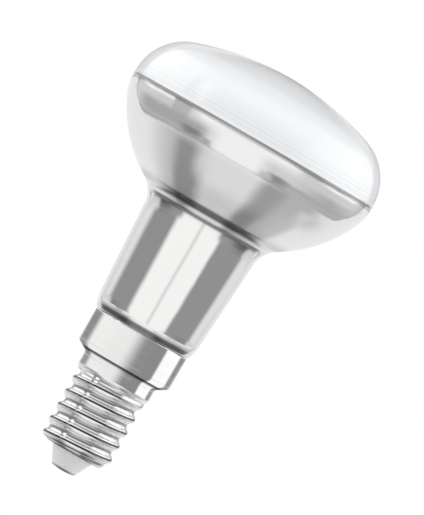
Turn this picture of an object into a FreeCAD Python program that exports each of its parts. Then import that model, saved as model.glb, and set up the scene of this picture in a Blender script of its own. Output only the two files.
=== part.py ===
"""Reflector bulb of the R50 size with an E14 screw cap, in millimetres.

The lamp stands on its axis, +Z towards the domed front. The origin is the middle of the end contact's
flat land, so the cap points down. Every piece is a body of revolution except the cap's rolled thread.
"""
import FreeCAD, Part
import math
import os

# Glass envelope: the seam is the widest circle, where the silvering ends, and a short straight band
head_diameter = 50.0
seam_above_rim = 40.6
seam_band_height = 0.8
front_rise = 12.7
front_shoulder_radius = 10.1
bowl_radius_at_seam = 9.6
bowl_turn_at_seam = 24.5
bowl_radius_below = 25.5
fold_radius = 5.5
neck_foot_overhang = 0.85
neck_foot_rise = 3.0
neck_half_angle = 3.43
neck_in_radius = 7.6
neck_lip_radius = 0.6
glass_wall = 1.1
cement_thickness = 0.8
neck_end_depth = 5.0

# Collar and smooth neck of the cap, pressed from one sheet with the thread
collar_diameter = 19.0
collar_height = 6.5
shoulder_drop = 1.2
shoulder_outer_radius = 0.7
shoulder_inner_radius = 0.9
cap_neck_diameter = 14.7
smooth_neck_length = 2.4
sheet_thickness = 0.3

# E14 thread: crest and root are equal arcs that run tangent into each other
thread_crest_diameter = 13.89
thread_pitch = 2.822
thread_depth = 0.8
thread_length = 13.44
runout_length = 1.7
first_crest_above_bottom = 0.84
shell_bottom_radius = 1.6
shell_floor_width = 0.745

# Insulator and end contact
insulator_cone_height = 3.21
insulator_ledge = 0.114
insulator_flange_thickness = 1.5
insulator_edge_radius = 0.3
contact_diameter = 4.7
contact_edge_height = 0.2
contact_rise = 0.45
contact_land_diameter = 1.6
contact_pin_diameter = 1.8
contact_pin_length = 3.2

# Clearances between pieces
insulator_flange_gap = 0.05
glass_above_rim = 0.1
lip_inside_rim = 0.06
cement_below_rim = 0.3
insulator_hole_gap = 0.1
contact_pin_gap = 0.05

# Fineness of the thread's two sheet surfaces, and how near their round ends come to true circles
samples_along = 68
samples_around = 36
round_end_tolerance = 0.001


def polar(centre, radius, angle):
    """Point (r, z) of a circle, with the angle in radians from +r towards +z."""
    return centre[0] + radius * math.cos(angle), centre[1] + radius * math.sin(angle)


def in_plane(point):
    return FreeCAD.Vector(point[0], 0, point[1])


def line(start, end):
    return Part.LineSegment(in_plane(start), in_plane(end)).toShape()


def arc(centre, radius, start_angle, end_angle):
    ends = polar(centre, radius, start_angle), polar(centre, radius, end_angle)
    middle = polar(centre, radius, (start_angle + end_angle) / 2)
    return Part.Arc(in_plane(ends[0]), in_plane(middle), in_plane(ends[1])).toShape()


def ends_of(edge):
    return edge.firstVertex(True).Point, edge.lastVertex(True).Point


def turned(edges):
    """Solid of revolution about the lamp's axis, from the closed outline that the edges make."""
    outline = Part.Wire(edges)
    return Part.Face(outline).revolve(FreeCAD.Vector(0, 0, 0), FreeCAD.Vector(0, 0, 1), 360)


def joined(edges):
    """The edges in order, with a straight edge wherever one ends away from the next one's start."""
    chain = []
    for edge, following in zip(edges, edges[1:] + edges[:1]):
        chain.append(edge)
        end, start = ends_of(edge)[1], ends_of(following)[0]
        if (start - end).Length > 1e-6:
            chain.append(Part.LineSegment(end, start).toShape())
    return chain


def rounded(corners):
    """Edges of an open line of (r, z, radius) corners, each rounded to its radius."""
    edges = []
    last = corners[0][:2]
    for before, corner, after in zip(corners, corners[1:], corners[2:]):
        back = math.atan2(before[1] - corner[1], before[0] - corner[0])
        on = math.atan2(after[1] - corner[1], after[0] - corner[0])
        half = math.acos(math.cos(on - back)) / 2
        reach = corner[2] / math.tan(half)
        bisector = math.atan2(math.sin(back) + math.sin(on), math.cos(back) + math.cos(on))
        centre = polar(corner, corner[2] / math.sin(half), bisector)
        middle = polar(centre, corner[2], bisector + math.pi)
        start, end = polar(corner, reach, back), polar(corner, reach, on)
        edges.append(line(last, start))
        edges.append(Part.Arc(in_plane(start), in_plane(middle), in_plane(end)).toShape())
        last = end
    edges.append(line(last, corners[-1][:2]))
    return edges


def smooth_step(value):
    value = min(max(value, 0.0), 1.0)
    return value * value * (3 - 2 * value)


# Heights along the axis from the end contact's land, and places that several pieces share
shell_bottom_height = contact_rise + insulator_cone_height
runout_start_height = shell_bottom_height + thread_length
runout_end_height = runout_start_height + runout_length
shoulder_foot_height = runout_end_height + smooth_neck_length
underside_height = shoulder_foot_height + shoulder_drop
collar_rim_height = underside_height + collar_height
seam_height = collar_rim_height + seam_above_rim
shoulder_height = seam_height + seam_band_height
collar_inner_radius = collar_diameter / 2 - sheet_thickness
neck_end_radius = collar_inner_radius - cement_thickness
neck_end_height = collar_rim_height - neck_end_depth
thread_crest_radius = thread_crest_diameter / 2
thread_arc_radius = ((thread_pitch / 2) ** 2 + thread_depth ** 2) / (4 * thread_depth)
thread_middle_radius = thread_crest_radius - thread_depth / 2
shell_floor_height = shell_bottom_height + sheet_thickness
shell_floor_radius = thread_middle_radius - shell_bottom_radius
shell_hole_radius = shell_floor_radius - shell_floor_width
corner_length = shell_bottom_radius * math.pi / 2
corner_start = runout_end_height - shell_bottom_height - shell_bottom_radius


def envelope():
    """The blown glass: domed front, reflector bowl, fold, tapered neck and the end that the cap holds.

    The outer and inner faces are arcs about the same centres, so the wall is even.
    """
    head_radius = head_diameter / 2
    taper = math.radians(neck_half_angle)
    turn = math.radians(bowl_turn_at_seam)

    # The front's shoulder, and the flatter dome that runs into it about a centre on the axis
    shoulder = (head_radius - front_shoulder_radius, shoulder_height)
    dome_radius = (shoulder[0] ** 2 + front_rise ** 2 - front_shoulder_radius ** 2) / (
        2 * (front_rise - front_shoulder_radius))
    dome = (0.0, shoulder_height + front_rise - dome_radius)
    dome_edge_angle = math.atan2(shoulder[1] - dome[1], shoulder[0])

    # The bowl turns in quickly below the seam, then on a larger arc
    upper_bowl = (head_radius - bowl_radius_at_seam, seam_height)
    lower_bowl = polar(upper_bowl, bowl_radius_below - bowl_radius_at_seam, math.pi - turn)

    # The fold is the arc that runs tangent into the bowl above and the tapered neck below
    outward = (math.cos(taper), -math.sin(taper))
    upward = (math.sin(taper), math.cos(taper))
    neck_foot = (collar_diameter / 2 + neck_foot_overhang, collar_rim_height + neck_foot_rise)
    beside = (neck_foot[0] + fold_radius * outward[0], neck_foot[1] + fold_radius * outward[1])
    apart = (beside[0] - lower_bowl[0], beside[1] - lower_bowl[1])
    along = apart[0] * upward[0] + apart[1] * upward[1]
    off = apart[0] ** 2 + apart[1] ** 2 - (bowl_radius_below + fold_radius) ** 2
    climb = -along - math.sqrt(along ** 2 - off)
    fold = (beside[0] + climb * upward[0], beside[1] + climb * upward[1])
    fold_angle = math.atan2(fold[1] - lower_bowl[1], fold[0] - lower_bowl[0])

    # At its foot the neck curves in to a small lip just above the collar's rim
    seat_height = collar_rim_height + glass_above_rim
    lip = (collar_inner_radius - lip_inside_rim, seat_height + neck_lip_radius)
    inside = (neck_foot[0] - neck_in_radius * outward[0], neck_foot[1] - neck_in_radius * outward[1])
    apart = (inside[0] - lip[0], inside[1] - lip[1])
    along = apart[0] * upward[0] + apart[1] * upward[1]
    off = apart[0] ** 2 + apart[1] ** 2 - (neck_in_radius - neck_lip_radius) ** 2
    climb = -along + math.sqrt(along ** 2 - off)
    curl = (inside[0] + climb * upward[0], inside[1] + climb * upward[1])
    curl_angle = math.atan2(lip[1] - curl[1], lip[0] - curl[0])

    def upper_outline(wall):
        """From the front's middle down to the neck, a wall's thickness inside the outer face."""
        return [
            arc(dome, dome_radius - wall, math.pi / 2, dome_edge_angle),
            arc(shoulder, front_shoulder_radius - wall, dome_edge_angle, 0),
            arc(upper_bowl, bowl_radius_at_seam - wall, 0, -turn),
            arc(lower_bowl, bowl_radius_below - wall, -turn, fold_angle),
            arc(fold, fold_radius + wall, fold_angle + math.pi, math.pi - taper),
        ]

    outer = upper_outline(0) + [
        arc(curl, neck_in_radius, -taper, curl_angle),
        arc(lip, neck_lip_radius, curl_angle, -math.pi / 2),
        line((neck_end_radius, seat_height), (neck_end_radius, neck_end_height)),
    ]
    inner_end_radius = neck_end_radius - glass_wall
    inner_foot = (neck_foot[0] - glass_wall * outward[0], neck_foot[1] - glass_wall * outward[1])
    inner = upper_outline(glass_wall) + [
        line(inner_foot, (inner_end_radius, seat_height)),
        line((inner_end_radius, seat_height), (inner_end_radius, neck_end_height)),
    ]
    glass = turned(joined(outer + [line((neck_end_radius, neck_end_height), (0, neck_end_height))]))
    hollow = turned(joined(inner + [line((inner_end_radius, neck_end_height), (0, neck_end_height))]))
    return glass.cut(hollow)


def cement():
    """The cement that holds the glass in the collar: a plain ring filling the space between them."""
    top = collar_rim_height - cement_below_rim
    corners = [
        (neck_end_radius, neck_end_height),
        (collar_inner_radius, neck_end_height),
        (collar_inner_radius, top),
        (neck_end_radius, top),
    ]
    return turned([line(a, b) for a, b in zip(corners, corners[1:] + corners[:1])])


def thread_wave(below_crest, wall):
    """Radius of the rolled sheet at a distance along the axis from a crest.

    A wall above zero gives the sheet's inner face: the same two arcs, nearer the crest's centre.
    """
    half_pitch = thread_pitch / 2
    crest_centre = thread_crest_radius - thread_arc_radius
    root_centre = crest_centre + 2 * thread_arc_radius - thread_depth
    crest_arc = thread_arc_radius - wall
    root_arc = thread_arc_radius + wall
    crest_reach = crest_arc * half_pitch / (2 * thread_arc_radius)
    away = abs(below_crest)
    if away <= crest_reach:
        return crest_centre + math.sqrt(crest_arc ** 2 - away ** 2)
    return root_centre - math.sqrt(root_arc ** 2 - (half_pitch - away) ** 2)


def thread_point(along, angle, wall):
    """A point of the rolled sheet, at a distance down its section and an angle about the axis.

    The section runs down the smooth neck, along the thread and round the shell's bottom corner. The
    thread's wave stands out square from it, and dies out at both ends.
    """
    turned_by = max(along - corner_start, 0.0) / shell_bottom_radius
    radius = thread_middle_radius - shell_bottom_radius * (1 - math.cos(turned_by))
    height = runout_end_height - min(along, corner_start) - shell_bottom_radius * math.sin(turned_by)

    level = runout_end_height - along
    crest = shell_bottom_height + first_crest_above_bottom
    crest += thread_pitch * (angle / (2 * math.pi) - 0.5)
    turns = (level - crest) / thread_pitch
    wave = thread_wave((turns - round(turns)) * thread_pitch, wall) - thread_middle_radius + wall
    runout = smooth_step((level - runout_start_height) / runout_length)
    fade = smooth_step((corner_start + corner_length - along) / corner_length)
    out = wave * (1 - runout) * fade - wall
    out += runout * (cap_neck_diameter / 2 - thread_middle_radius)
    radius += out * math.cos(turned_by)
    height -= out * math.sin(turned_by)
    return FreeCAD.Vector(radius * math.cos(angle), radius * math.sin(angle), height)


def thread_sheet(wall):
    """One face of the rolled sheet, from the smooth neck to the end of the bottom corner."""
    length = corner_start + corner_length
    grid = []
    for i in range(samples_around + 1):
        angle = 2 * math.pi * (i % samples_around) / samples_around
        down = [length * j / samples_along for j in range(samples_along + 1)]
        grid.append([thread_point(along, angle, wall) for along in down])
    surface = Part.BSplineSurface()
    surface.interpolate(grid)
    return surface.toShape()


def thread_shell():
    """The rolled thread as a closed sheet of metal between its outer and inner faces."""
    outer, inner = thread_sheet(0), thread_sheet(sheet_thickness)

    def rim(face, low):
        loops = [e for e in face.Edges if e.isClosed()]
        return sorted(loops, key=lambda e: e.BoundBox.ZMin)[0 if low else -1]

    top = Part.Face([Part.Wire([rim(outer, False)]), Part.Wire([rim(inner, False)])])
    bottom = Part.makeRuledSurface(rim(outer, True), rim(inner, True))
    solid = Part.Solid(Part.makeShell([outer, inner, top, bottom]))
    solid.fix(round_end_tolerance, round_end_tolerance, round_end_tolerance)
    return solid


def cap_shell():
    """One sheet: collar, shoulder and smooth neck, the rolled thread, and the floor with its hole."""
    radius, neck_radius = collar_diameter / 2, cap_neck_diameter / 2
    slope = math.atan2(shoulder_drop, radius - neck_radius)
    inset = sheet_thickness * math.tan((math.pi / 2 - slope) / 2)
    outer = rounded([
        (radius, collar_rim_height, 0),
        (radius, underside_height, shoulder_outer_radius),
        (neck_radius, shoulder_foot_height, shoulder_inner_radius),
        (neck_radius, runout_end_height, 0),
    ])
    inner = rounded([
        (neck_radius - sheet_thickness, runout_end_height, 0),
        (neck_radius - sheet_thickness, shoulder_foot_height + inset,
         shoulder_inner_radius + sheet_thickness),
        (radius - sheet_thickness, underside_height + inset, shoulder_outer_radius - sheet_thickness),
        (radius - sheet_thickness, collar_rim_height, 0),
    ])
    floor = turned([
        line((shell_hole_radius, shell_bottom_height), (shell_floor_radius, shell_bottom_height)),
        line((shell_floor_radius, shell_bottom_height), (shell_floor_radius, shell_floor_height)),
        line((shell_floor_radius, shell_floor_height), (shell_hole_radius, shell_floor_height)),
        line((shell_hole_radius, shell_floor_height), (shell_hole_radius, shell_bottom_height)),
    ])
    upper = turned(joined(outer + inner))
    return upper.fuse((thread_shell(), floor), round_end_tolerance).removeSplitter()


def insulator():
    """The moulded plug: a flange that sits on the shell's floor and a cone that stands out below it."""
    radius = shell_hole_radius - insulator_hole_gap
    bottom_radius = contact_diameter / 2 + insulator_ledge
    flange_radius = shell_floor_radius - insulator_flange_gap
    bore_radius = contact_pin_diameter / 2 + contact_pin_gap
    top = shell_floor_height + insulator_flange_thickness
    outside = rounded([
        (bore_radius, contact_rise, 0),
        (bottom_radius, contact_rise, insulator_edge_radius),
        (radius, shell_bottom_height, insulator_edge_radius),
        (radius, shell_floor_height, 0),
    ])
    inside = [
        line((radius, shell_floor_height), (flange_radius, shell_floor_height)),
        line((flange_radius, shell_floor_height), (flange_radius, top)),
        line((flange_radius, top), (bore_radius, top)),
        line((bore_radius, top), (bore_radius, contact_rise)),
    ]
    return turned(joined(outside + inside))


def end_contact():
    """The end contact: a shallow domed head with a flat land, on a pin held in the insulator."""
    land, edge = contact_land_diameter / 2, contact_diameter / 2
    pin, pin_top = contact_pin_diameter / 2, contact_rise + contact_pin_length
    edge_level = contact_rise - contact_edge_height
    dome_radius = (edge ** 2 - land ** 2 + edge_level ** 2) / (2 * edge_level)
    dome_radius = math.hypot(dome_radius, land)
    centre = (0.0, math.sqrt(dome_radius ** 2 - land ** 2))
    return turned([
        line((0, 0), (land, 0)),
        arc(centre, dome_radius, math.atan2(-centre[1], land),
            math.atan2(edge_level - centre[1], edge)),
        line((edge, edge_level), (edge, contact_rise)),
        line((edge, contact_rise), (pin, contact_rise)),
        line((pin, contact_rise), (pin, pin_top)),
        line((pin, pin_top), (0, pin_top)),
        line((0, pin_top), (0, 0)),
    ])


PIECES = {
    "bulb_envelope": envelope,
    "basing_cement": cement,
    "cap_shell": cap_shell,
    "cap_insulator": insulator,
    "end_contact": end_contact,
}

os.makedirs("parts", exist_ok=True)
for name, make in PIECES.items():
    make().exportStep("parts/" + name + ".step")
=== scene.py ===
"""Finished looks of a reflector lamp, R50 with an E14 screw cap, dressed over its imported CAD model.

The lamp stands on its axis, +Z towards the domed front, with its origin in the middle of the end
contact's flat land. Each piece is turned about that axis from a drawn outline, and the cap's thread is
rolled into its turned shell afterwards.
"""
import bmesh
import bpy
import math
from bpy.props import FloatProperty, FloatVectorProperty, PointerProperty
from bpy.types import Operator, Panel, PropertyGroup
from mathutils import Matrix, Vector


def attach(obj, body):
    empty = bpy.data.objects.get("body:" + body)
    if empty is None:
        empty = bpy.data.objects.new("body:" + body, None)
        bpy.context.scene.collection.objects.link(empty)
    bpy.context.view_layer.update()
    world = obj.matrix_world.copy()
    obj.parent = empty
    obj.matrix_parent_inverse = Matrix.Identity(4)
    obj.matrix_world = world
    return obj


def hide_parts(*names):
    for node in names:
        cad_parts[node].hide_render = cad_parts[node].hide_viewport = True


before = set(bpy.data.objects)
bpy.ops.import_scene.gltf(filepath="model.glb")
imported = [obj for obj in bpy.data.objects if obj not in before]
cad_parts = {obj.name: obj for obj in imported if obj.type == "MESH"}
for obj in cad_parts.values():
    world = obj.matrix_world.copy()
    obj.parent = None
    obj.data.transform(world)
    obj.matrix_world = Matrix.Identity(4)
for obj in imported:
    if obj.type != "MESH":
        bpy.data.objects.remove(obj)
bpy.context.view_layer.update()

bl_info = {
    "name": "Reflector lamp R50",
    "version": (1, 0, 0),
    "blender": (4, 5, 0),
    "location": "3D View > Sidebar > Lamp",
    "description": "Builds a reflector lamp with a silvered bowl, frosted front and screw cap",
    "category": "Add Mesh",
}

MM = 0.001
BODY = "root"

# Turning: how near its ends a straight stretch is held, what is merged on the axis, and from which
# angle an edge stays crisp
HOLD = 0.05 * MM
MERGE_DISTANCE = 1e-7
CRISP_ANGLE = math.radians(38.0)

# Small gaps and roundings between the pieces
GLASS_ABOVE_RIM = 0.1 * MM
LIP_GAP = 0.06 * MM
PIN_GAP = 0.05 * MM
RIM_ROUNDING = 0.08 * MM
HEAD_ROUNDING = 0.05 * MM

# The photo's frame: its size and scale, where the seam's middle lies in it, and how far the lamp leans
PHOTO_WIDTH, PHOTO_HEIGHT = 424, 515
PIXEL = MM / 5.47
SEAM_ACROSS, SEAM_DOWN = 253.5, 139.4
LEAN = math.radians(30.0)
CAMERA_AWAY = 2.0

# The paper floor, and the distances between which it fades to white
FLOOR_RADIUS, FLOOR_HEIGHT = 0.45, -0.03
FADE_START, FADE_END = 0.16, 0.42


def length(label, millimetres, description):
    """A length in the sidebar, given here in millimetres and kept in metres."""
    return FloatProperty(name=label, description=description, default=millimetres * MM,
                         min=0.0, subtype="DISTANCE", unit="LENGTH", precision=5)


def angle(label, degrees, description):
    """An angle in the sidebar, given here in degrees."""
    return FloatProperty(name=label, description=description, default=math.radians(degrees),
                         subtype="ANGLE", unit="ROTATION")


def linear(code):
    """Linear red, green, blue and alpha of an sRGB hex colour such as #C0C0C0."""
    parts = [int(code[i:i + 2], 16) / 255 for i in (1, 3, 5)]
    return tuple(p / 12.92 if p <= 0.04045 else ((p + 0.055) / 1.055) ** 2.4 for p in parts) + (1.0,)


def colour(label, code, description):
    """A colour in the sidebar, given here as an sRGB hex code."""
    return FloatVectorProperty(name=label, description=description, default=linear(code),
                               size=4, min=0.0, max=1.0, subtype="COLOR")


class GlassSizes(PropertyGroup):
    """The blown glass, from the domed front to the neck's end inside the collar."""
    head_diameter: length("Head diameter", 50.0, "Across the seam, where the lamp is widest")
    overall_length: length("Overall length", 83.0, "From the end contact to the front's middle")
    seam_height: length("Seam height", 69.5, "Where the silvering ends, above the end contact")
    seam_band: length("Seam band", 0.8, "Height of the short straight band at the seam")
    silvering_line: length("Silvering line", 0.42, "Height of the grey line where the silvering ends")
    front_shoulder: length("Front shoulder", 10.1, "Radius of the front's round edge")
    bowl_start_radius: length("Bowl radius at seam", 9.6, "Radius of the bowl just below the seam")
    bowl_turn: angle("Bowl turn", 24.5, "How far the bowl has turned in where its radius grows")
    bowl_radius: length("Bowl radius", 25.5, "Radius of the bowl's long arc")
    fold_radius: length("Fold radius", 5.5, "Radius of the fold between the bowl and the neck")
    foot_radius: length("Neck foot radius", 10.35, "Radius of the neck just above the collar")
    foot_rise: length("Neck foot rise", 3.0, "Height of that place above the collar's rim")
    neck_taper: angle("Neck taper", 3.43, "Half angle of the tapered neck")
    neck_curl: length("Neck curl", 7.6, "Radius on which the neck's foot curls in")
    lip_radius: length("Lip radius", 0.6, "Radius of the lip above the rim")
    wall: length("Glass wall", 1.1, "Thickness of the glass")
    end_radius: length("Neck end radius", 8.4, "Radius of the glass inside the collar")
    end_height: length("Neck end height", 23.9, "Height of the glass's lower end")


class CapSizes(PropertyGroup):
    """The cap: one rolled sheet, its moulded insulator and the end contact."""
    rim_height: length("Rim height", 28.9, "Top of the collar, above the end contact")
    collar_radius: length("Collar radius", 9.5, "Outer radius of the collar")
    collar_height: length("Collar height", 6.5, "From the rim to the shoulder")
    shoulder_drop: length("Shoulder drop", 1.2, "Height of the sloping shoulder")
    shoulder_outer: length("Shoulder outer radius", 0.7, "Rounding where the collar turns in")
    shoulder_inner: length("Shoulder inner radius", 0.9, "Rounding where the neck turns down")
    neck_radius: length("Cap neck radius", 7.35, "Radius of the smooth neck above the thread")
    sheet: length("Sheet thickness", 0.3, "Thickness of the cap's sheet metal")
    crest_radius: length("Crest radius", 6.945, "Radius over the thread's crests")
    pitch: length("Thread pitch", 2.822, "From crest to crest, nine threads to the inch")
    depth: length("Thread depth", 0.8, "From crest to root")
    first_crest: length("First crest", 4.5, "Height of the lowest crest on the left")
    runout_start: length("Run-out start", 17.1, "Where the thread starts to fade into the neck")
    runout: length("Run-out length", 1.7, "Height over which the thread fades")
    bottom: length("Shell bottom", 3.66, "Height of the shell's floor")
    corner: length("Corner radius", 1.6, "Rounding between the thread and the floor")
    hole_radius: length("Floor hole radius", 4.2, "Hole in the floor for the insulator")
    insulator_radius: length("Insulator radius", 4.1, "Radius of the insulator below the floor")
    insulator_foot: length("Insulator foot radius", 2.464, "Radius at the insulator's lower end")
    insulator_edge: length("Insulator edge", 0.3, "Rounding of the insulator's edges")
    flange_radius: length("Flange radius", 4.895, "Radius of the flange on the shell's floor")
    flange_height: length("Flange height", 1.5, "Height of that flange")
    contact_radius: length("Contact radius", 2.35, "Radius of the end contact")
    contact_rise: length("Contact rise", 0.45, "Height of the end contact's head")
    contact_edge: length("Contact edge", 0.2, "Height of the straight edge of its head")
    contact_land: length("Contact land", 0.8, "Radius of its flat middle")
    pin_radius: length("Pin radius", 0.9, "Radius of the contact's pin")
    pin_length: length("Pin length", 3.2, "Length of the pin in the insulator")


class Finishes(PropertyGroup):
    """Base colours of the finishes."""
    frosting: colour("Frosted glass", "#F1F2F4", "Etched inside of the domed front")
    silvering: colour("Silvering", "#F0F0EF", "Aluminium coat inside the bowl and neck")
    silvering_edge: colour("Silvering edge", "#7A7C7E", "Thin line where that coat ends")
    nickel: colour("Nickel plate", "#F0F0EF", "Plated sheet of the cap")
    insulator: colour("Insulator", "#DADADA", "Moulded insulator")
    contact: colour("End contact", "#B9B7B2", "Tinned end contact")
    cement: colour("Cement", "#C9C4BA", "Cement between the glass and the collar")
    floor: colour("Floor", "#F2F2F2", "Paper floor")


def add_node(tree, kind, inputs=None, **settings):
    """Adds a node with its settings, and links or sets its inputs: a socket is linked, all else is a value.

    An input is given by its name, or by its number where the node has several of that name: 1 to 4 are
    Map Range's from and to limits, from 7 on for vectors, and Mix's two values are 2 and 3, or 6 and 7
    for colours.
    """
    node = tree.nodes.new(kind)
    for name, value in settings.items():
        setattr(node, name, value)
    for key, value in (inputs or {}).items():
        if isinstance(value, bpy.types.NodeSocket):
            tree.links.new(value, node.inputs[key])
        else:
            node.inputs[key].default_value = value
    return node


def new_material(name):
    """An empty node material, its tree, and the place on the lamp that its patterns are drawn by."""
    made = bpy.data.materials.new(name)
    made.use_nodes = True
    made.node_tree.nodes.clear()
    place = add_node(made.node_tree, "ShaderNodeTexCoord").outputs["Object"]
    return made, made.node_tree, place


def polar(centre, radius, at):
    """The point at a distance and an angle from a centre, in the plane of radius and height."""
    return centre[0] + radius * math.cos(at), centre[1] + radius * math.sin(at)


def smooth_step(value):
    """Eases from 0 to 1 as the value goes from 0 to 1."""
    value = min(max(value, 0.0), 1.0)
    return value * value * (3 - 2 * value)


class Outline:
    """A line of vertices in the plane of radius and height, drawn end to end and then turned."""

    def __init__(self, start):
        self.mesh = bmesh.new()
        self.along = self.mesh.verts.layers.float.new("along")
        self.wall = self.mesh.verts.layers.float.new("wall")
        self.last = self.mesh.verts.new((start[0], 0.0, start[1]))
        self.last[self.along] = -1.0

    def point(self, to):
        """One more vertex, joined to the last one by an edge."""
        made = bmesh.ops.extrude_vert_indiv(self.mesh, verts=[self.last])
        self.last = made["verts"][0]
        self.last.co = (to[0], 0.0, to[1])
        self.last[self.along] = -1.0

    def line(self, to, steps=1):
        """A straight stretch, held near both ends so that its smooth shading stays flat."""
        here = (self.last.co.x, self.last.co.z)
        reach = math.hypot(to[0] - here[0], to[1] - here[1])
        shares = [step / steps for step in range(1, steps)]
        if reach > 4 * HOLD:
            shares = [HOLD / reach] + shares + [1 - HOLD / reach]
        for share in shares:
            self.point((here[0] + (to[0] - here[0]) * share, here[1] + (to[1] - here[1]) * share))
        self.point(to)

    def arc(self, centre, start_angle, end_angle, steps):
        """An arc about a centre from where the line has come to, its angles from the radius to the axis."""
        made = bmesh.ops.spin(self.mesh, geom=[self.last], cent=(centre[0], 0.0, centre[1]),
                              axis=(0.0, 1.0, 0.0), angle=start_angle - end_angle, steps=steps,
                              use_merge=False, use_duplicate=False)
        self.last = [v for v in made["geom_last"] if isinstance(v, bmesh.types.BMVert)][0]

    def corner(self, point, towards, radius, steps=6):
        """A straight stretch and then a rounded corner, on the way to the next point."""
        here = (self.last.co.x, self.last.co.z)
        back = math.atan2(here[1] - point[1], here[0] - point[0])
        on = math.atan2(towards[1] - point[1], towards[0] - point[0])
        half = math.acos(math.cos(on - back)) / 2
        bisector = math.atan2(math.sin(back) + math.sin(on), math.cos(back) + math.cos(on))
        self.line(polar(point, radius / math.tan(half), back))
        centre = polar(point, radius / math.sin(half), bisector)
        first = math.atan2(self.last.co.z - centre[1], self.last.co.x - centre[0])
        end = polar(point, radius / math.tan(half), on)
        turn = math.atan2(end[1] - centre[1], end[0] - centre[0]) - first
        turn = (turn + math.pi) % (2 * math.pi) - math.pi
        self.arc(centre, first, first + turn, steps)

    def close(self):
        """A straight edge back to the first vertex."""
        self.mesh.verts.ensure_lookup_table()
        self.mesh.edges.new((self.last, self.mesh.verts[0]))

    def turn(self, name, steps, materials, shape=None):
        """Turns the outline about the lamp's axis and makes the piece, smooth but for its crisp corners."""
        bm = self.mesh
        bmesh.ops.spin(bm, geom=bm.verts[:] + bm.edges[:], cent=(0.0, 0.0, 0.0), axis=(0.0, 0.0, 1.0),
                       angle=2 * math.pi, steps=steps, use_merge=True, use_duplicate=False)
        if shape:
            for vertex in bm.verts:
                if vertex[self.along] >= 0.0:
                    shape(vertex, vertex[self.along], vertex[self.wall])
        bmesh.ops.remove_doubles(bm, verts=bm.verts[:], dist=MERGE_DISTANCE)
        bmesh.ops.recalc_face_normals(bm, faces=bm.faces[:])
        mesh = bpy.data.meshes.new(name)
        bm.to_mesh(mesh)
        bm.free()
        mesh.shade_smooth()
        mesh.set_sharp_from_angle(angle=CRISP_ANGLE)
        for material in materials:
            mesh.materials.append(material)
        piece = bpy.data.objects.new(name, mesh)
        bpy.context.scene.collection.objects.link(piece)
        return piece


def draw_curve(mapping, points, handles="AUTO_CLAMPED"):
    """Draws a curve through its points, (value, result): smooth, or straight between them with VECTOR."""
    mapping.use_clip = False
    line = mapping.curves[0]
    for index, at in enumerate(points):
        point = line.points[index] if index < 2 else line.points.new(*at)
        point.location = at
        point.handle_type = handles
    mapping.update()


def by_height(tree, points, handles="AUTO_CLAMPED"):
    """A value that follows a curve of the height on the lamp's axis; the points are (mm, result)."""
    bottom, top = points[0][0], points[-1][0]
    place = add_node(tree, "ShaderNodeTexCoord")
    height = add_node(tree, "ShaderNodeSeparateXYZ", {0: place.outputs["Object"]})
    share = add_node(tree, "ShaderNodeMapRange", {0: height.outputs["Z"], 1: bottom * MM, 2: top * MM})
    curve = add_node(tree, "ShaderNodeFloatCurve", {1: share.outputs[0]})
    draw_curve(curve.mapping, [((mm - bottom) / (top - bottom), result) for mm, result in points], handles)
    return curve.outputs[0]


def leaned(tree, normal, points, handles="AUTO_CLAMPED"):
    """The normal, leaned up or down by an amount that follows a curve of the height, in mm."""
    lean = add_node(tree, "ShaderNodeCombineXYZ", {2: by_height(tree, points, handles)})
    both = add_node(tree, "ShaderNodeVectorMath", {0: normal, 1: lean.outputs[0]}, operation="ADD")
    return add_node(tree, "ShaderNodeVectorMath", {0: both.outputs[0]}, operation="NORMALIZE").outputs[0]


def frosted_glass():
    """Soda-lime glass, blown and etched inside: a soft white body under a clear, glossy skin."""
    made, tree, place = new_material("frosted_soda_lime_glass")
    colours = bpy.context.scene.lamp_finishes
    # The faint rings that blowing leaves near the seam: noise drawn out round the axis, 0.4 mm high
    squeeze = add_node(tree, "ShaderNodeMapping", {"Vector": place, "Scale": (9, 9, 2600)})
    rings = add_node(tree, "ShaderNodeTexNoise", {"Vector": squeeze.outputs[0], "Scale": 1.0, "Detail": 2.0})
    near_seam = by_height(tree, ((69.5, 1.0), (72.2, 0.8), (73.6, 0.0), (83.0, 0.0)))
    streak = add_node(tree, "ShaderNodeMapRange", {0: rings.outputs[0], 1: 0.38, 2: 0.58, 4: 0.20})
    shade = add_node(tree, "ShaderNodeMath", {0: streak.outputs[0], 1: near_seam}, operation="MULTIPLY")
    body = add_node(tree, "ShaderNodeMix", {0: shade.outputs[0], 6: colours.frosting, 7: linear("#B4B8BC")},
                    data_type="RGBA")
    # Painted shade: the base colour turns grey at the outline of the round shoulder, where the clear wall in
    # front of the frosting is seen edge-on
    turned = add_node(tree, "ShaderNodeLayerWeight", {"Blend": 0.5})
    edge = add_node(tree, "ShaderNodeMapRange", {0: turned.outputs["Facing"], 1: 0.655, 2: 0.70},
                    interpolation_type="SMOOTHSTEP")
    shoulder = by_height(tree, ((69.5, 1.0), (76.5, 1.0), (79.0, 0.35), (80.5, 0.0), (83.0, 0.0)))
    wall = add_node(tree, "ShaderNodeMath", {0: edge.outputs[0], 1: shoulder}, operation="MULTIPLY")
    # Painted shade: the grey outline mixed into the frosting's colour
    skin_colour = add_node(tree, "ShaderNodeMix", {
        0: wall.outputs[0], 6: body.outputs[2], 7: linear("#DDDFE3")}, data_type="RGBA")
    skin = add_node(tree, "ShaderNodeBsdfPrincipled", {
        "Base Color": skin_colour.outputs[2], "Roughness": 0.55, "IOR": 1.5,
        "Coat Weight": 1.0, "Coat Roughness": 0.03, "Coat IOR": 1.52})
    add_node(tree, "ShaderNodeOutputMaterial", {"Surface": skin.outputs[0]})
    return made


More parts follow.
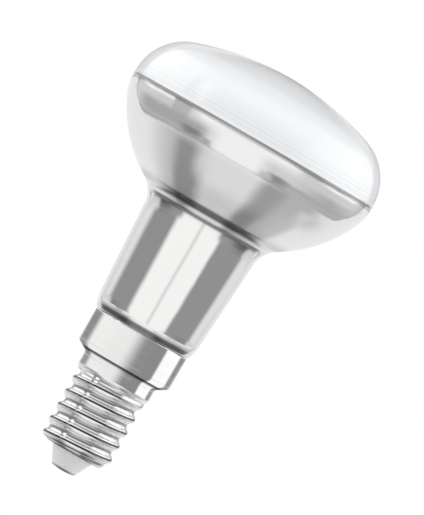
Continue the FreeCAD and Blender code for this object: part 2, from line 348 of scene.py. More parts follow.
def silvered_glass():
    """Soda-lime glass, aluminised inside: a bright mirror that follows the blown wall's slight waves."""
    made, tree, place = new_material("aluminised_soda_lime_glass")
    colours = bpy.context.scene.lamp_finishes
    # The blown wall's waves, 7 mm across
    waves = add_node(tree, "ShaderNodeTexNoise", {"Vector": place, "Scale": 150.0, "Detail": 2.0})
    bump = add_node(tree, "ShaderNodeBump", {
        "Strength": 0.16, "Distance": 0.3 * MM, "Height": waves.outputs[0]})
    # The coat lies on the glass's inside, which turns in sooner at the seam and folds more sharply at
    # the neck than the outside does: this is how far it leans up or down from the outside's slope
    inner = leaned(tree, bump.outputs[0], (
        (28.0, 0.0), (30.9, 0.0), (31.1, 0.095), (31.9, 0.0), (47.5, 0.0), (49.87, -0.015),
        (50.3, 0.048), (51.5, 0.240), (52.2, 0.356), (53.0, 0.18), (53.6, 0.08), (54.35, 0.26), (55.0, 0.23),
        (55.6, 0.15), (56.3, 0.06), (57.2, 0.0), (66.0, 0.0), (66.8, -0.025), (68.6, -0.135), (69.4, -0.16),
        (69.6, -0.17)), "VECTOR")
    # Painted shade: dark rings painted into the coat's colour in the fold and at the neck's foot, standing in
    # for the dark reflections of the neck and the collar's rim; it is also darker just below the seam, where
    # the coat ends
    mask = by_height(tree, (
        (28.0, 0.7), (28.95, 0.8), (29.2, 0.22), (29.8, 0.15), (30.2, 0.7), (30.8, 1.0), (51.2, 1.0),
        (52.0, 0.75), (52.35, 0.22), (52.65, 0.26), (52.9, 0.9), (53.15, 0.95), (53.45, 0.6), (53.75, 0.14),
        (54.3, 0.12), (54.7, 0.50), (55.1, 0.95), (56.0, 1.0), (68.7, 1.0), (69.1, 0.72), (69.5, 0.45)))
    # These painted dark rings fade towards the outline, where the coat is seen edge-on
    turned = add_node(tree, "ShaderNodeLayerWeight", {"Blend": 0.5})
    outline_fade = add_node(tree, "ShaderNodeMapRange", {0: turned.outputs["Facing"], 1: 0.48, 2: 0.68, 4: 0.85},
                     interpolation_type="SMOOTHSTEP")
    whole = add_node(tree, "ShaderNodeMath", {0: mask, 1: outline_fade.outputs[0]}, operation="MAXIMUM")
    # Painted shade: the coat's colour goes to near black in those rings
    coat = add_node(tree, "ShaderNodeMix", {0: whole.outputs[0], 6: linear("#1C1C1C"), 7: colours.silvering},
                    data_type="RGBA")
    skin = add_node(tree, "ShaderNodeBsdfPrincipled", {
        "Base Color": coat.outputs[2], "Metallic": 1.0, "Roughness": 0.05,
        "Coat Weight": 1.0, "Coat Roughness": 0.02, "Coat IOR": 1.52,
        "Normal": inner})
    add_node(tree, "ShaderNodeOutputMaterial", {"Surface": skin.outputs[0]})
    return made


def silvering_line():
    """The edge of the aluminium coat, thin enough there to look grey through the glass."""
    made, tree, place = new_material("thin_aluminium_edge")
    colours = bpy.context.scene.lamp_finishes
    patches = add_node(tree, "ShaderNodeTexNoise", {"Vector": place, "Scale": 60.0, "Detail": 2.0})
    blend = add_node(tree, "ShaderNodeMix", {
        0: patches.outputs[0], 6: colours.silvering_edge, 7: linear("#B4B6B8")}, data_type="RGBA")
    skin = add_node(tree, "ShaderNodeBsdfPrincipled", {
        "Base Color": blend.outputs[2], "Metallic": 0.5, "Roughness": 0.3,
        "Coat Weight": 1.0, "Coat Roughness": 0.03, "Coat IOR": 1.52})
    add_node(tree, "ShaderNodeOutputMaterial", {"Surface": skin.outputs[0]})
    return made


def nickel_plate():
    """Nickel plate on rolled sheet: bright, with fine marks round the axis from the rolling."""
    made, tree, place = new_material("nickel_plated_rolled_sheet")
    colours, cap = bpy.context.scene.lamp_finishes, bpy.context.scene.lamp_cap
    # The real marks are finer than the render can show: these are 0.5 mm high
    squeeze = add_node(tree, "ShaderNodeMapping", {"Vector": place, "Scale": (60, 60, 2200)})
    marks = add_node(tree, "ShaderNodeTexNoise", {"Vector": squeeze.outputs[0], "Scale": 1.0, "Detail": 3.0})
    rough = add_node(tree, "ShaderNodeMapRange", {0: marks.outputs[0], 1: 0.3, 2: 0.7, 3: 0.06, 4: 0.11})
    # The sheet is drawn sharply at the shoulder: the collar's face runs on over its rounding, and the
    # smooth neck's runs up to it
    geometry = add_node(tree, "ShaderNodeNewGeometry")
    drawn = leaned(tree, geometry.outputs["Normal"], (
        (20.0, 0.0), (20.672, 0.0), (21.457, 0.873), (22.2, 0.873), (22.811, 0.0), (23.5, 0.0)), "VECTOR")
    # Painted shade: the plate's colour is darkened in the drawn corner under the collar, just above each
    # crest and in the thread's groove, standing in for the dark reflections there; the thread's places are
    # found from the height above a crest, in turns of the thread
    corner = by_height(tree, (
        (20.0, 1.0), (20.9, 1.0), (21.3, 0.8), (21.5, 0.3), (21.6, 0.12), (21.8, 0.12), (21.9, 0.4),
        (22.05, 1.0), (23.5, 1.0)))
    where = add_node(tree, "ShaderNodeSeparateXYZ", {0: place})
    round_axis = add_node(tree, "ShaderNodeMath", {0: where.outputs["Y"], 1: where.outputs["X"]},
                          operation="ARCTAN2")
    turns = add_node(tree, "ShaderNodeMath", {0: round_axis.outputs[0], 1: -1 / (2 * math.pi), 2: 0.5},
                     operation="MULTIPLY_ADD")
    climbed = add_node(tree, "ShaderNodeMath", {
        0: where.outputs["Z"], 1: 1 / cap.pitch, 2: -cap.first_crest / cap.pitch}, operation="MULTIPLY_ADD")
    phase = add_node(tree, "ShaderNodeMath", {0: climbed.outputs[0], 1: turns.outputs[0]}, operation="ADD")
    share = add_node(tree, "ShaderNodeMath", {0: phase.outputs[0], 1: 0.0, 2: 1.0}, operation="WRAP")
    groove = add_node(tree, "ShaderNodeFloatCurve", {1: share.outputs[0]})
    draw_curve(groove.mapping, (
        (0.0, 0.16), (0.048, 0.92), (0.10, 0.95), (0.158, 0.05), (0.36, 0.0), (0.48, 0.50), (0.58, 0.55),
        (0.70, 0.0), (0.955, 0.0), (1.0, 0.16)))
    threaded = by_height(tree, ((0.0, 1.0), (16.4, 1.0), (17.8, 0.0), (20.0, 0.0)))
    # Painted shade: the thread's dark lines, up to where the thread runs out
    painted_dark_lines = add_node(tree, "ShaderNodeMath", {0: groove.outputs[0], 1: threaded}, operation="MULTIPLY")
    outside_dark_lines = add_node(tree, "ShaderNodeMath", {0: 1.0, 1: painted_dark_lines.outputs[0]}, operation="SUBTRACT")
    bright = add_node(tree, "ShaderNodeMath", {0: outside_dark_lines.outputs[0], 1: corner}, operation="MULTIPLY")
    # Painted shade: the plate's colour goes to near black along those lines and in the corner
    plate = add_node(tree, "ShaderNodeMix", {0: bright.outputs[0], 6: linear("#161616"), 7: colours.nickel},
                     data_type="RGBA")
    skin = add_node(tree, "ShaderNodeBsdfPrincipled", {
        "Base Color": plate.outputs[2], "Metallic": 1.0, "Roughness": rough.outputs[0],
        "Normal": drawn})
    add_node(tree, "ShaderNodeOutputMaterial", {"Surface": skin.outputs[0]})
    return made


def insulator_plastic():
    """Moulded thermosetting plastic, satin, with its mould's grain, 0.4 mm across so that it shows."""
    made, tree, place = new_material("moulded_insulating_resin")
    colours = bpy.context.scene.lamp_finishes
    grain = add_node(tree, "ShaderNodeTexNoise", {"Vector": place, "Scale": 2500.0, "Detail": 2.0})
    bump = add_node(tree, "ShaderNodeBump", {
        "Strength": 0.03, "Distance": 0.03 * MM, "Height": grain.outputs[0]})
    skin = add_node(tree, "ShaderNodeBsdfPrincipled", {
        "Base Color": colours.insulator, "Roughness": 0.32, "IOR": 1.5, "Normal": bump.outputs[0]})
    add_node(tree, "ShaderNodeOutputMaterial", {"Surface": skin.outputs[0]})
    return made


def contact_metal():
    """Tinned brass, pressed: dull, with scuffs 1 mm across where it meets the lampholder's spring."""
    made, tree, place = new_material("tinned_brass")
    colours = bpy.context.scene.lamp_finishes
    scuffs = add_node(tree, "ShaderNodeTexNoise", {"Vector": place, "Scale": 900.0, "Detail": 4.0})
    rough = add_node(tree, "ShaderNodeMapRange", {0: scuffs.outputs[0], 1: 0.3, 2: 0.7, 3: 0.28, 4: 0.45})
    skin = add_node(tree, "ShaderNodeBsdfPrincipled", {
        "Base Color": colours.contact, "Metallic": 1.0, "Roughness": rough.outputs[0]})
    add_node(tree, "ShaderNodeOutputMaterial", {"Surface": skin.outputs[0]})
    return made


def basing_cement_finish():
    """Phenolic basing cement: matt, with grains of its marble filler, 0.5 mm across."""
    made, tree, place = new_material("phenolic_basing_cement")
    colours = bpy.context.scene.lamp_finishes
    grains = add_node(tree, "ShaderNodeTexNoise", {"Vector": place, "Scale": 1800.0, "Detail": 3.0})
    blend = add_node(tree, "ShaderNodeMix", {0: grains.outputs[0], 6: colours.cement, 7: linear("#A89F8E")},
                     data_type="RGBA")
    skin = add_node(tree, "ShaderNodeBsdfPrincipled", {"Base Color": blend.outputs[2], "Roughness": 0.9})
    add_node(tree, "ShaderNodeOutputMaterial", {"Surface": skin.outputs[0]})
    return made


def paper_floor():
    """White paper: it shows as white to the camera where nothing shades it, and fades out at its edge."""
    made, tree, place = new_material("white_background_paper")
    colours = bpy.context.scene.lamp_finishes
    rays = add_node(tree, "ShaderNodeLightPath")
    distance = add_node(tree, "ShaderNodeVectorMath", {0: place}, operation="LENGTH")
    fade = add_node(tree, "ShaderNodeMapRange", {0: distance.outputs["Value"], 1: FADE_START, 2: FADE_END},
                    interpolation_type="SMOOTHSTEP")
    seen = add_node(tree, "ShaderNodeMath", {0: fade.outputs[0], 1: rays.outputs["Is Camera Ray"]},
                    operation="MULTIPLY")
    lift = add_node(tree, "ShaderNodeMath", {0: rays.outputs["Is Camera Ray"], 1: 0.16}, operation="MULTIPLY")
    paper = add_node(tree, "ShaderNodeBsdfDiffuse", {"Color": colours.floor})
    glow = add_node(tree, "ShaderNodeEmission", {"Strength": lift.outputs[0]})
    both = add_node(tree, "ShaderNodeAddShader", {0: paper.outputs[0], 1: glow.outputs[0]})
    white = add_node(tree, "ShaderNodeEmission", {"Strength": 1.0})
    shown = add_node(tree, "ShaderNodeMixShader", {
        0: seen.outputs[0], 1: both.outputs[0], 2: white.outputs[0]})
    add_node(tree, "ShaderNodeOutputMaterial", {"Surface": shown.outputs[0]})
    return made


# Light tent: white all round, with grey flags and brighter soft boxes before it, the later ones over the
# earlier. Each is given by the slope of a surface that shows it to the front: across, from -1 at the
# lamp's left edge to 1 at its right, and the sine of its tilt, below 0 where it faces down. Then how
# soft its edges are, across and up, its level, and whether it curves round the lamp, with its edges
# rising towards both sides by a share of this power and this amount.
TENT_WHITE = 1.05
RISE_POWER, RISE_AMOUNT = 40.0, 12.0
TENT = (
    ("cloth overhead", (-0.87, 0.87), (0.70, 1.20), (0.50, 0.12), 0.33, False),
    ("left box", (-0.93, -0.60), (0.04, 0.66), (0.04, 0.10), 1.32, False),
    ("right box", (0.44, 0.82), (0.04, 0.66), (0.04, 0.10), 1.32, False),
    ("left box stand", (-0.62, -0.55), (0.04, 0.42), (0.03, 0.10), 0.20, False),
    ("left box spill", (-0.52, -0.46), (0.04, 0.48), (0.03, 0.10), 1.90, False),
    ("front rail", (-0.44, 0.38), (0.04, 0.42), (0.08, 0.06), 0.30, False),
    ("back cloth left", (-1.10, -0.935), (0.04, 0.96), (0.04, 0.06), 0.55, False),
    ("back cloth right", (0.935, 1.10), (0.04, 0.96), (0.04, 0.06), 0.55, False),
    ("bowl", (-1.10, 1.10), (-1.20, -0.02), (0.10, 0.02), 0.86, False),
    ("rim of the upper bowl", (-0.952, 0.952), (-0.460, -0.02), (0.02, 0.02), 0.36, True),
    ("upper bowl", (-0.935, 0.935), (-0.442, -0.02), (0.03, 0.02), 0.70, True),
    ("left rim card", (-0.92, -0.64), (-0.205, -0.02), (0.04, 0.04), 1.16, True),
    ("right rim card", (0.62, 0.92), (-0.205, -0.02), (0.14, 0.04), 1.20, True),
    ("left strip", (-0.64, -0.50), (-0.36, -0.02), (0.03, 0.10), 0.54, True),
    ("front box", (-0.46, 0.42), (-0.24, -0.02), (0.14, 0.10), 1.03, True),
    ("left lens", (-0.88, -0.34), (-0.445, -0.27), (0.12, 0.08), 0.43, True),
    ("left lens end", (-0.52, -0.36), (-0.445, -0.36), (0.12, 0.06), 0.26, True),
    ("right lens", (0.56, 0.90), (-0.445, -0.27), (0.44, 0.08), 0.45, True),
    ("right lens low", (0.26, 0.90), (-0.445, -0.375), (0.16, 0.07), 0.45, True),
    ("right lens end", (0.24, 0.38), (-0.445, -0.36), (0.12, 0.06), 0.30, True),
    ("front box foot", (-0.26, 0.17), (-0.46, -0.18), (0.16, 0.04), 0.98, False),
    ("left lens tip", (-0.34, -0.27), (-0.450, -0.408), (0.06, 0.03), 0.44, False),
    ("right lens tip", (0.17, 0.25), (-0.450, -0.408), (0.06, 0.03), 0.58, False),
    ("lower middle", (-0.34, 0.28), (-0.80, -0.475), (0.20, 0.06), 0.78, False),
    ("lower middle end", (-0.34, 0.28), (-0.80, -0.70), (0.20, 0.14), 0.62, False),
    ("left side low", (-0.70, -0.30), (-0.82, -0.46), (0.30, 0.06), 0.56, False),
    ("left flag low", (-0.53, -0.34), (-0.82, -0.48), (0.14, 0.10), 0.31, False),
    ("left flag foot", (-0.50, -0.25), (-0.82, -0.66), (0.16, 0.20), 0.29, False),
    ("right side low", (0.24, 0.66), (-0.82, -0.475), (0.16, 0.06), 0.50, False),
    ("right strip", (0.68, 0.82), (-0.62, -0.50), (0.20, 0.12), 0.60, False),
    ("right lens shade", (0.40, 0.73), (-0.515, -0.445), (0.14, 0.05), 0.50, False),
    ("right strip foot", (0.56, 0.70), (-0.80, -0.60), (0.14, 0.12), 0.56, False),
    ("right flag low", (0.25, 0.45), (-0.82, -0.46), (0.14, 0.06), 0.37, False),
    ("right flag foot", (0.23, 0.42), (-0.82, -0.70), (0.14, 0.14), 0.26, False),
    ("neck", (-1.10, 1.10), (-0.105, -0.040), (0.10, 0.02), 0.82, False),
    ("neck middle", (-0.46, 0.38), (-0.15, -0.040), (0.08, 0.02), 1.02, False),
    ("neck left flag", (-0.81, -0.42), (-0.155, 0.050), (0.10, 0.07), 0.31, True),
    ("neck right flag", (0.345, 0.79), (-0.155, 0.050), (0.08, 0.07), 0.32, True),
    ("neck left flag top", (-0.81, -0.36), (-0.155, -0.106), (0.10, 0.04), 0.33, True),
    ("neck right flag top", (0.29, 0.79), (-0.155, -0.106), (0.10, 0.04), 0.32, True),
    ("neck left flag end", (-0.88, -0.60), (-0.155, -0.104), (0.24, 0.06), 0.11, True),
    ("neck right flag end", (0.56, 0.86), (-0.155, -0.104), (0.24, 0.06), 0.11, True),
    ("neck left corner", (-0.93, -0.77), (-0.155, -0.084), (0.08, 0.03), 0.72, True),
    ("neck right corner", (0.77, 0.93), (-0.155, -0.084), (0.08, 0.03), 0.72, True),
    ("neck middle line", (-0.030, 0.020), (-0.15, -0.040), (0.06, 0.02), 0.75, False),
    ("collar", (-1.10, 1.10), (-0.030, 0.030), (0.10, 0.02), 0.28, False),
    ("collar left box", (-0.82, -0.20), (-0.030, 0.030), (0.12, 0.02), 1.00, False),
    ("collar middle", (-0.44, 0.04), (-0.030, 0.030), (0.36, 0.02), 0.94, False),
    ("collar right box", (0.60, 0.885), (-0.030, 0.030), (0.05, 0.02), 1.15, False),
    ("floor beside", (-1.10, 1.10), (-1.20, -0.80), (0.10, 0.05), 0.50, False),
    ("floor behind", (-0.66, 0.66), (-1.20, -0.78), (0.30, 0.05), 0.10, False),
)

# Three soft boxes light what is matt: one on each side, a little in front, and one overhead
SOFT_BOX_SIZE = 0.6
SOFT_BOX_AIM = Vector((0, 0, 0.05))
SOFT_BOXES = (((-0.90, -0.30, 0.30), 2.0), ((0.90, -0.30, 0.30), 2.0), ((0.0, -0.60, 0.65), 1.2))


def light_tent():
    """The world: plain white to the camera, and to everything else the tent with its flags."""
    world = bpy.data.worlds.new("light_tent")
    world.use_nodes = True
    tree = world.node_tree
    tree.nodes.clear()
    place = add_node(tree, "ShaderNodeTexCoord")
    facing = add_node(tree, "ShaderNodeVectorMath", {0: place.outputs["Generated"], 1: (0.0, -1.0, 0.0)},
                      operation="ADD")
    slope = add_node(tree, "ShaderNodeVectorMath", {0: facing.outputs[0]}, operation="NORMALIZE")
    tilt = add_node(tree, "ShaderNodeSeparateXYZ", {0: slope.outputs[0]})
    flat = add_node(tree, "ShaderNodeCombineXYZ", {0: tilt.outputs[0], 1: tilt.outputs[1]})
    level_flat = add_node(tree, "ShaderNodeVectorMath", {0: flat.outputs[0]}, operation="NORMALIZE")
    across = add_node(tree, "ShaderNodeSeparateXYZ", {0: level_flat.outputs[0]})
    sides = add_node(tree, "ShaderNodeMath", {0: across.outputs[0], 1: RISE_POWER}, operation="POWER")
    curved = add_node(tree, "ShaderNodeMath", {0: sides.outputs[0], 1: RISE_AMOUNT, 2: 1.0},
                      operation="MULTIPLY_ADD")
    risen = add_node(tree, "ShaderNodeMath", {0: tilt.outputs[2], 1: curved.outputs[0]}, operation="MULTIPLY")
    straight = add_node(tree, "ShaderNodeCombineXYZ", {0: across.outputs[0], 1: tilt.outputs[2]})
    round_lamp = add_node(tree, "ShaderNodeCombineXYZ", {0: across.outputs[0], 1: risen.outputs[0]})
    level = TENT_WHITE
    for name, (left, right), (low, high), (soft_across, soft_up), value, rises in TENT:
        seen = round_lamp if rises else straight
        middle = ((left + right) / 2, (low + high) / 2, 0.0)
        half_across, half_up = (right - left) / 2, (high - low) / 2
        off = add_node(tree, "ShaderNodeVectorMath", {0: seen.outputs[0], 1: middle}, operation="SUBTRACT")
        away = add_node(tree, "ShaderNodeVectorMath", {0: off.outputs[0]}, operation="ABSOLUTE")
        inside = add_node(tree, "ShaderNodeMapRange", {
            6: away.outputs[0], 7: (half_across + soft_across / 2, half_up + soft_up / 2, 1.0),
            8: (half_across - soft_across / 2, half_up - soft_up / 2, 0.0)},
            data_type="FLOAT_VECTOR", interpolation_type="SMOOTHSTEP")
        parts = add_node(tree, "ShaderNodeSeparateXYZ", {0: inside.outputs[1]})
        mask = add_node(tree, "ShaderNodeMath", {0: parts.outputs[0], 1: parts.outputs[1]},
                         operation="MULTIPLY")
        mixed = add_node(tree, "ShaderNodeMix", {0: mask.outputs[0], 2: level, 3: value},
                         data_type="FLOAT", label=name)
        level = mixed.outputs[0]
    rays = add_node(tree, "ShaderNodeLightPath")
    strength = add_node(tree, "ShaderNodeMix", {0: rays.outputs["Is Camera Ray"], 2: level, 3: 1.0},
                        data_type="FLOAT")
    light = add_node(tree, "ShaderNodeBackground", {
        "Color": (1.0, 1.0, 1.0, 1.0), "Strength": strength.outputs[0]})
    add_node(tree, "ShaderNodeOutputWorld", {"Surface": light.outputs[0]})
    bpy.context.scene.world = world


class LAMP_OT_glass(Operator):
    """Blown glass bulb: frosted front, silvered bowl, fold and tapered neck"""
    bl_idname = "lamp.glass"
    bl_label = "Glass bulb"

    def execute(self, context):
        size, cap = context.scene.lamp_glass, context.scene.lamp_cap
        radius = size.head_diameter / 2
        shoulder = (radius - size.front_shoulder, size.seam_height + size.seam_band)
        rise = size.overall_length - shoulder[1]
        dome_radius = (shoulder[0] ** 2 + rise ** 2 - size.front_shoulder ** 2) / (
            2 * (rise - size.front_shoulder))
        dome = (0.0, size.overall_length - dome_radius)
        dome_edge = math.atan2(shoulder[1] - dome[1], shoulder[0])
        upper_bowl = (radius - size.bowl_start_radius, size.seam_height)
        lower_bowl = polar(upper_bowl, size.bowl_radius - size.bowl_start_radius, math.pi - size.bowl_turn)

        # The fold runs tangent into the bowl and the neck, and the neck's curl into its lip
        outward = (math.cos(size.neck_taper), -math.sin(size.neck_taper))
        upward = (math.sin(size.neck_taper), math.cos(size.neck_taper))
        foot = (size.foot_radius, cap.rim_height + size.foot_rise)

        def tangent(start, target, reach, sign):
            """The point on the neck's direction from start that lies at that reach from the target."""
            apart = (start[0] - target[0], start[1] - target[1])
            along = apart[0] * upward[0] + apart[1] * upward[1]
            climb = -along + sign * math.sqrt(along ** 2 - apart[0] ** 2 - apart[1] ** 2 + reach ** 2)
            return (start[0] + climb * upward[0], start[1] + climb * upward[1])

        beside = (foot[0] + size.fold_radius * outward[0], foot[1] + size.fold_radius * outward[1])
        fold = tangent(beside, lower_bowl, size.bowl_radius + size.fold_radius, -1)
        fold_angle = math.atan2(fold[1] - lower_bowl[1], fold[0] - lower_bowl[0])
        seat = cap.rim_height + GLASS_ABOVE_RIM
        lip = (cap.collar_radius - cap.sheet - LIP_GAP, seat + size.lip_radius)
        inside = (foot[0] - size.neck_curl * outward[0], foot[1] - size.neck_curl * outward[1])
        curl = tangent(inside, lip, size.neck_curl - size.lip_radius, 1)
        curl_angle = math.atan2(lip[1] - curl[1], lip[0] - curl[0])
        taper, turn, wall = size.neck_taper, size.bowl_turn, size.wall

        heights = (size.seam_height, size.seam_height + size.silvering_line)
        line = Outline((0.0, size.overall_length))
        line.arc(dome, math.pi / 2, dome_edge, 40)
        line.arc(shoulder, dome_edge, 0.0, 24)
        line.line((radius, heights[1]))
        line.line((radius, heights[0]))
        line.arc(upper_bowl, 0.0, -turn, 14)
        line.arc(lower_bowl, -turn, fold_angle, 26)
        line.arc(fold, fold_angle + math.pi, math.pi - taper, 22)
        line.line(polar(curl, size.neck_curl, -taper), 12)
        line.arc(curl, -taper, curl_angle, 10)
        line.arc(lip, curl_angle, -math.pi / 2, 8)
        line.line((size.end_radius, seat))
        line.line((size.end_radius, size.end_height), 4)
        inner_end = size.end_radius - wall
        line.line((inner_end, size.end_height))
        line.line((inner_end, seat), 4)
        line.line((foot[0] - wall * outward[0], foot[1] - wall * outward[1]), 2)
        line.line(polar(fold, size.fold_radius + wall, math.pi - taper), 8)
        line.arc(fold, math.pi - taper, fold_angle + math.pi, 12)
        line.arc(lower_bowl, fold_angle, -turn, 14)
        line.arc(upper_bowl, -turn, 0.0, 8)
        line.line((radius - wall, shoulder[1]))
        line.arc(shoulder, 0.0, dome_edge, 12)
        line.arc(dome, dome_edge, math.pi / 2, 20)
        piece = line.turn("blown_glass_bulb", 224, [frosted_glass(), silvering_line(), silvered_glass()])
        # The front's faces take the first material, the grey line's the second and the bowl's the third
        for face in piece.data.polygons:
            face.material_index = sum(face.center.z < height for height in heights)
        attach(piece, BODY)
        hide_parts("bulb_envelope")
        return {"FINISHED"}


class LAMP_OT_cap_shell(Operator):
    """Cap shell: collar, shoulder, smooth neck, rolled thread and floor, one plated sheet"""
    bl_idname = "lamp.cap_shell"
    bl_label = "Cap shell"

    def execute(self, context):
        cap = context.scene.lamp_cap
        sheet, radius, neck = cap.sheet, cap.collar_radius, cap.neck_radius
        underside = cap.rim_height - cap.collar_height
        shoulder_foot = underside - cap.shoulder_drop
        slope = math.atan2(cap.shoulder_drop, radius - neck)
        inset = sheet * math.tan((math.pi / 2 - slope) / 2)
        half_pitch = cap.pitch / 2
        arc_radius = (half_pitch ** 2 + cap.depth ** 2) / (4 * cap.depth)
        crest_centre = cap.crest_radius - arc_radius
        root_centre = crest_centre + 2 * arc_radius - cap.depth
        middle = cap.crest_radius - cap.depth / 2
        top = cap.runout_start + cap.runout
        corner_length = cap.corner * math.pi / 2
        corner_start = top - cap.bottom - cap.corner

        def wave(below_crest, wall):
            """Radius of the rolled sheet at a height from a crest: two equal arcs, crest and root."""
            crest_arc, root_arc = arc_radius - wall, arc_radius + wall
            away = abs(below_crest)
            if away <= crest_arc * half_pitch / (2 * arc_radius):
                return crest_centre + math.sqrt(crest_arc ** 2 - away ** 2)
            return root_centre - math.sqrt(root_arc ** 2 - (half_pitch - away) ** 2)

        def sheet_at(along, out):
            """Radius and height at a distance down the sheet, some way out from its mean surface."""
            turned_by = max(along - corner_start, 0.0) / cap.corner
            return (middle - cap.corner * (1 - math.cos(turned_by)) + out * math.cos(turned_by),
                    top - min(along, corner_start) - (cap.corner + out) * math.sin(turned_by))

        def runout_at(along):
            """How far the sheet has gone over into the smooth neck, from 0 to 1."""
            return smooth_step((top - along - cap.runout_start) / cap.runout)

        def roll(vertex, along, wall):
            """Rolls the thread into the turned sheet: it dies out in the neck and round the corner."""
            at = math.atan2(vertex.co.y, vertex.co.x)
            # The lowest crest is on the left, half a turn from the angle's zero
            crest = cap.first_crest + cap.pitch * ((at % (2 * math.pi)) / (2 * math.pi) - 0.5)
            turns = (top - along - crest) / cap.pitch
            out = wave((turns - round(turns)) * cap.pitch, wall) - middle + wall
            fade = smooth_step((corner_start + corner_length - along) / corner_length)
            out = out * (1 - runout_at(along)) * fade
            r, z = sheet_at(along, out - wall + runout_at(along) * (neck - middle))
            vertex.co = (r * math.cos(at), r * math.sin(at), z)

        def rolled(line, start, end, steps, wall):
            """Vertices down or up the thread's stretch of the sheet, marked for the thread to be rolled."""
            for step in range(steps + 1):
                along = start + (end - start) * step / steps
                place = sheet_at(along, runout_at(along) * (neck - middle) - wall)
                if step:
                    line.point(place)
                else:
                    line.line(place)
                line.last[line.along] = along
                line.last[line.wall] = wall

        section = corner_start + corner_length
        line = Outline((radius - sheet / 2, cap.rim_height))
        line.corner((radius, cap.rim_height), (radius, underside), RIM_ROUNDING, 4)
        line.corner((radius, underside), (neck, shoulder_foot), cap.shoulder_outer, 10)
        line.corner((neck, shoulder_foot), (neck, top), cap.shoulder_inner, 10)
        rolled(line, 0.0, section, 180, 0.0)
        line.line((cap.hole_radius, cap.bottom), 2)
        line.line((cap.hole_radius, cap.bottom + sheet))
        rolled(line, section, 0.0, 70, sheet)
        line.corner((neck - sheet, shoulder_foot + inset), (radius - sheet, underside + inset),
                    cap.shoulder_inner + sheet, 8)
        line.corner((radius - sheet, underside + inset), (radius - sheet, cap.rim_height),
                    cap.shoulder_outer - sheet, 6)
        line.corner((radius - sheet, cap.rim_height), (radius, cap.rim_height), RIM_ROUNDING, 4)
        line.close()
        piece = line.turn("cap_sheet", 256, [nickel_plate()], roll)
        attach(piece, BODY)
        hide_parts("cap_shell")
        return {"FINISHED"}


class LAMP_OT_insulator(Operator):
    """Moulded insulator: a flange on the shell's floor and a cone that stands out below it"""
    bl_idname = "lamp.insulator"
    bl_label = "Insulator"

    def execute(self, context):
        cap = context.scene.lamp_cap
        floor = cap.bottom + cap.sheet
        bore = cap.pin_radius + PIN_GAP
        top = floor + cap.flange_height
        line = Outline((bore, cap.contact_rise))
        line.corner((cap.insulator_foot, cap.contact_rise), (cap.insulator_radius, cap.bottom),
                    cap.insulator_edge, 8)
        line.corner((cap.insulator_radius, cap.bottom), (cap.insulator_radius, floor), cap.insulator_edge, 6)
        line.line((cap.insulator_radius, floor))
        line.line((cap.flange_radius, floor), 2)
        line.line((cap.flange_radius, top), 2)
        line.line((bore, top), 3)
        line.close()
        piece = line.turn("moulded_insulator", 128, [insulator_plastic()])
        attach(piece, BODY)
        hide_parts("cap_insulator")
        return {"FINISHED"}


class LAMP_OT_end_contact(Operator):
    """End contact: a shallow domed head with a flat land, on its pin"""
    bl_idname = "lamp.end_contact"
    bl_label = "End contact"

    def execute(self, context):
        cap = context.scene.lamp_cap
        edge_level = cap.contact_rise - cap.contact_edge
        land, edge = cap.contact_land, cap.contact_radius
        rise = (edge ** 2 - land ** 2 + edge_level ** 2) / (2 * edge_level)
        centre = (0.0, rise)
        line = Outline((0.0, 0.0))
        line.line((land, 0.0), 2)
        line.arc(centre, math.atan2(-rise, land), math.atan2(edge_level - rise, edge), 12)
        line.corner((edge, cap.contact_rise), (cap.pin_radius, cap.contact_rise), HEAD_ROUNDING, 3)
        line.line((cap.pin_radius, cap.contact_rise), 2)
        line.line((cap.pin_radius, cap.contact_rise + cap.pin_length), 3)
        line.line((0.0, cap.contact_rise + cap.pin_length), 2)
        piece = line.turn("pressed_end_contact", 96, [contact_metal()])
        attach(piece, BODY)
        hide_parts("end_contact")
        return {"FINISHED"}


class LAMP_OT_cement(Operator):
    """Cement between the glass and the collar: the CAD ring with its finish"""
    bl_idname = "lamp.cement"
    bl_label = "Basing cement"

    def execute(self, context):
        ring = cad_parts["basing_cement"]
        ring.data.materials.clear()
        ring.data.materials.append(basing_cement_finish())
        return {"FINISHED"}


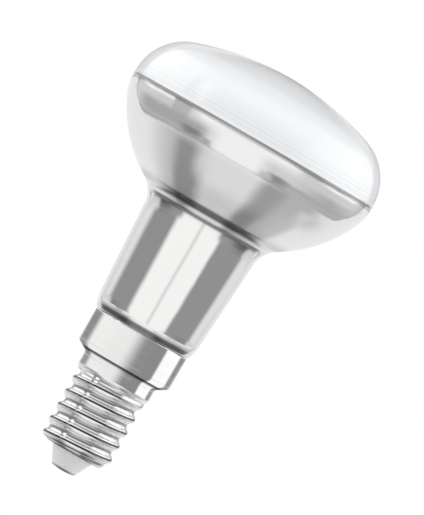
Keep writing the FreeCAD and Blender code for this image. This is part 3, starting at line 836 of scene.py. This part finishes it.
class LAMP_OT_stage(Operator):
    """Paper floor, light tent, soft boxes, and the camera, turned so that the lamp leans to the right"""
    bl_idname = "lamp.stage"
    bl_label = "Stage"

    def execute(self, context):
        bm = bmesh.new()
        bmesh.ops.create_circle(bm, cap_ends=True, segments=96, radius=FLOOR_RADIUS,
                                matrix=Matrix.Translation((0.0, 0.0, FLOOR_HEIGHT)))
        mesh = bpy.data.meshes.new("paper_floor")
        bm.to_mesh(mesh)
        bm.free()
        mesh.materials.append(paper_floor())
        floor = bpy.data.objects.new("paper_floor", mesh)
        context.scene.collection.objects.link(floor)
        floor.visible_glossy = False
        light_tent()
        for place, watts in SOFT_BOXES:
            light = bpy.data.lights.new("soft_box", "AREA")
            light.shape, light.size, light.energy = "SQUARE", SOFT_BOX_SIZE, watts
            box = bpy.data.objects.new("soft_box", light)
            box.location = place
            box.rotation_euler = (Vector(place) - SOFT_BOX_AIM).to_track_quat("Z", "Y").to_euler()
            box.visible_glossy = False
            context.scene.collection.objects.link(box)

        # The photo looks square on to the lamp's axis, and its middle lies below the seam's, to the left
        right = (PHOTO_WIDTH / 2 - SEAM_ACROSS) * PIXEL
        up = -(PHOTO_HEIGHT / 2 - SEAM_DOWN) * PIXEL
        across = right * math.cos(LEAN) - up * math.sin(LEAN)
        above = right * math.sin(LEAN) + up * math.cos(LEAN)
        seam_middle = context.scene.lamp_glass.seam_height + context.scene.lamp_glass.seam_band / 2
        data = bpy.data.cameras.new("camera")
        data.lens = data.sensor_width / 2 * CAMERA_AWAY / (PHOTO_HEIGHT / 2 * PIXEL)
        camera = bpy.data.objects.new("camera", data)
        context.scene.collection.objects.link(camera)
        camera.matrix_world = (
            Matrix.Translation((across, -CAMERA_AWAY, seam_middle + above))
            @ Matrix.Rotation(-LEAN, 4, "Y")
            @ Matrix.Rotation(math.pi / 2, 4, "X")
        )
        data.clip_start, data.clip_end = 0.1, 10.0
        context.scene.camera = camera
        context.scene.view_settings.view_transform = "Standard"
        return {"FINISHED"}


class LAMP_PT_panel(Panel):
    """Sizes, colours and pieces of the lamp"""
    bl_label = "Reflector lamp"
    bl_idname = "LAMP_PT_panel"
    bl_space_type = "VIEW_3D"
    bl_region_type = "UI"
    bl_category = "Lamp"

    def draw(self, context):
        for piece in PIECES:
            self.layout.operator(piece.bl_idname)
        for group in (context.scene.lamp_glass, context.scene.lamp_cap, context.scene.lamp_finishes):
            box = self.layout.box()
            for name in group.__annotations__:
                box.prop(group, name)


PIECES = (LAMP_OT_glass, LAMP_OT_cap_shell, LAMP_OT_insulator, LAMP_OT_end_contact, LAMP_OT_cement,
          LAMP_OT_stage)
CLASSES = (GlassSizes, CapSizes, Finishes) + PIECES + (LAMP_PT_panel,)


def register():
    for made in CLASSES:
        bpy.utils.register_class(made)
    bpy.types.Scene.lamp_glass = PointerProperty(type=GlassSizes)
    bpy.types.Scene.lamp_cap = PointerProperty(type=CapSizes)
    bpy.types.Scene.lamp_finishes = PointerProperty(type=Finishes)


def unregister():
    del bpy.types.Scene.lamp_finishes
    del bpy.types.Scene.lamp_cap
    del bpy.types.Scene.lamp_glass
    for made in reversed(CLASSES):
        bpy.utils.unregister_class(made)


def main():
    """Builds the pieces and the stage."""
    register()
    bpy.ops.lamp.glass()
    bpy.ops.lamp.cap_shell()
    bpy.ops.lamp.insulator()
    bpy.ops.lamp.end_contact()
    bpy.ops.lamp.cement()
    bpy.ops.lamp.stage()


if __name__ == "__main__":
    main()
